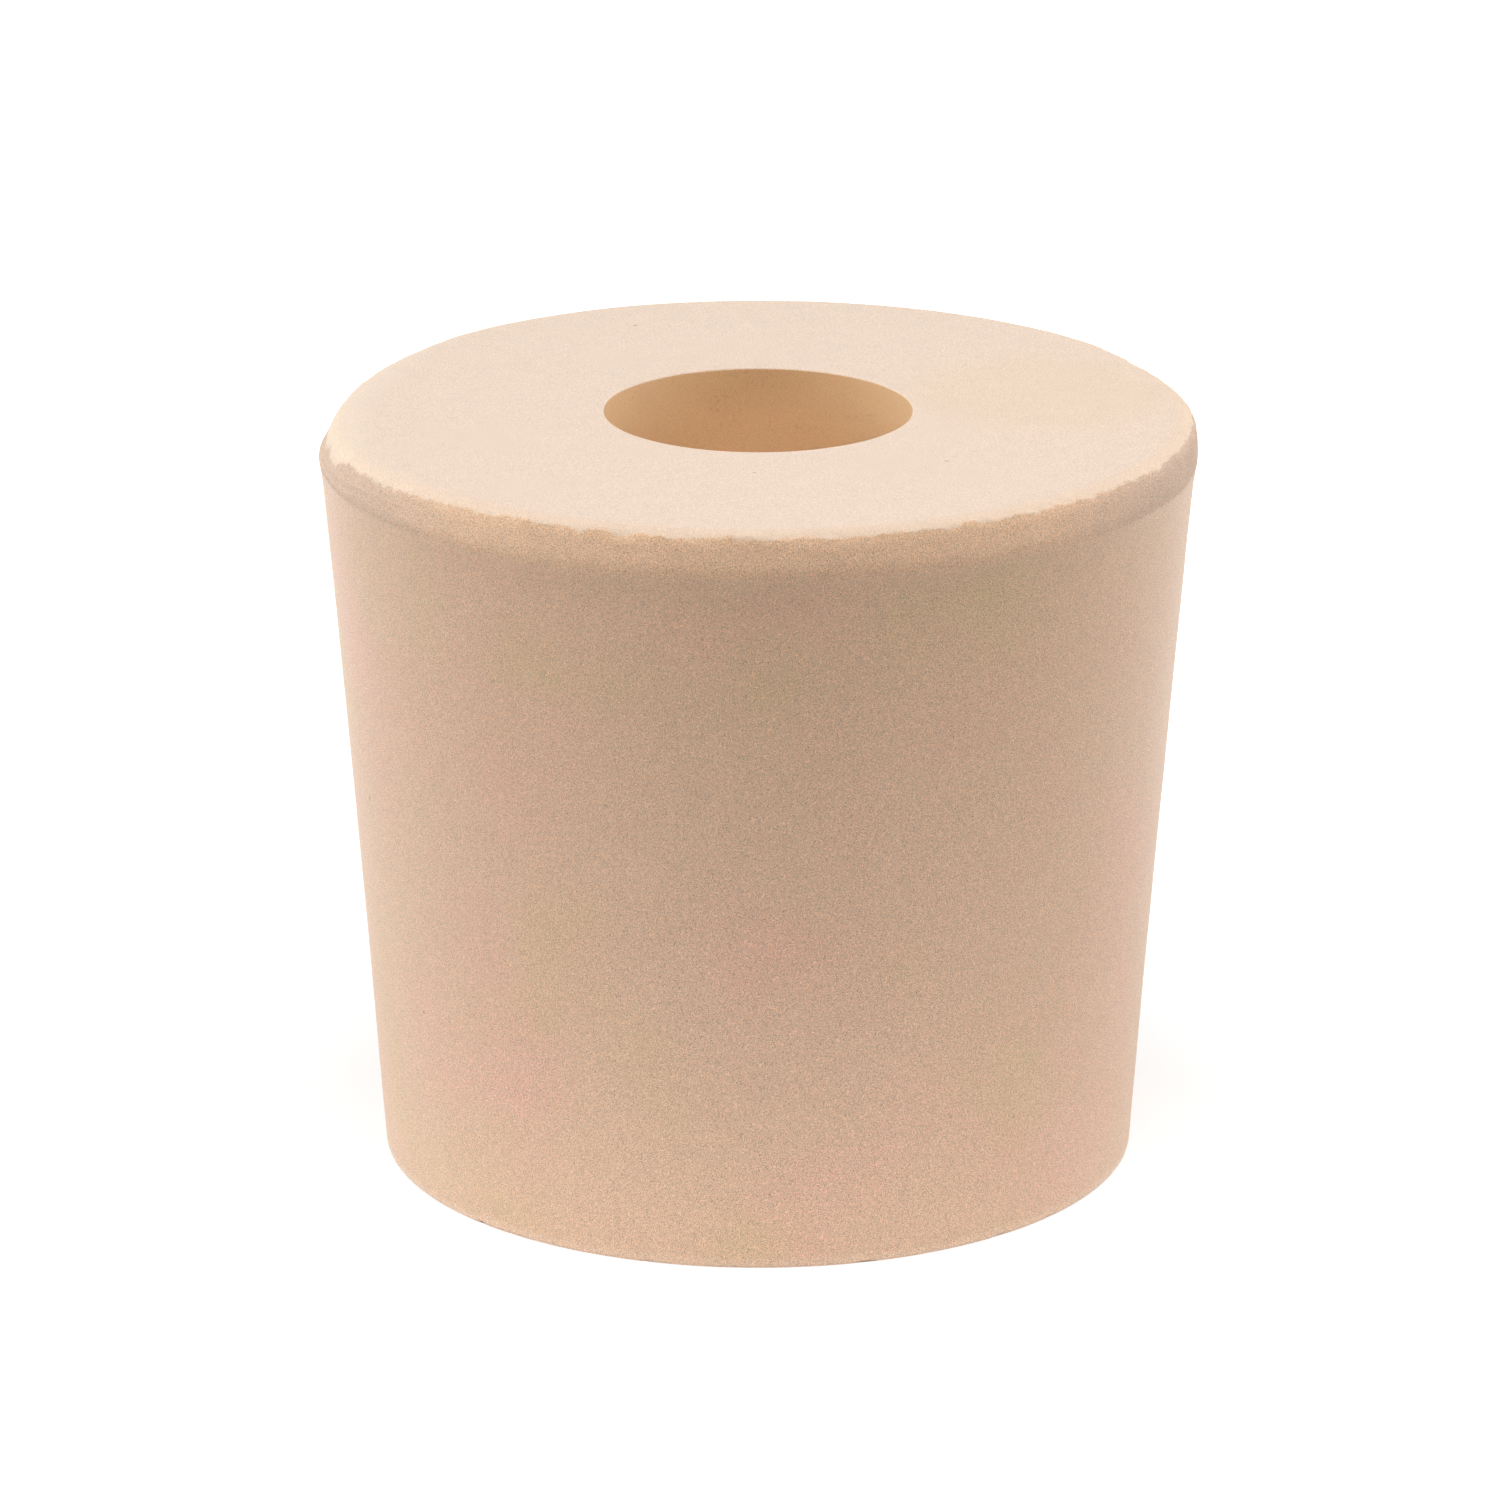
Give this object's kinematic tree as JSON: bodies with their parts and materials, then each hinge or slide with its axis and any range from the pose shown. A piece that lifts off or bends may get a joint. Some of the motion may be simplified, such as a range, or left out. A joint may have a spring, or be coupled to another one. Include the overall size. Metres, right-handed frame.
{
  "type": "rubber stopper",
  "caption": "Tapered rubber stopper with a straight bore through the middle and a short straight rim band round its large end, standing on its small end.",
  "frame": {"origin": "centre of the small end's face, on the bore's axis", "axes": "+Z along the bore's axis, from the small end up to the large end; X and Y are free, because the body is round"},
  "size_m": [0.055, 0.055, 0.0484],
  "materials": {
    "rubber": "matte moulded natural rubber, tan, with a fine sandy grain"
  },
  "bodies": {
    "root": {"stopper": "rubber"}
  },
  "joints": []
}
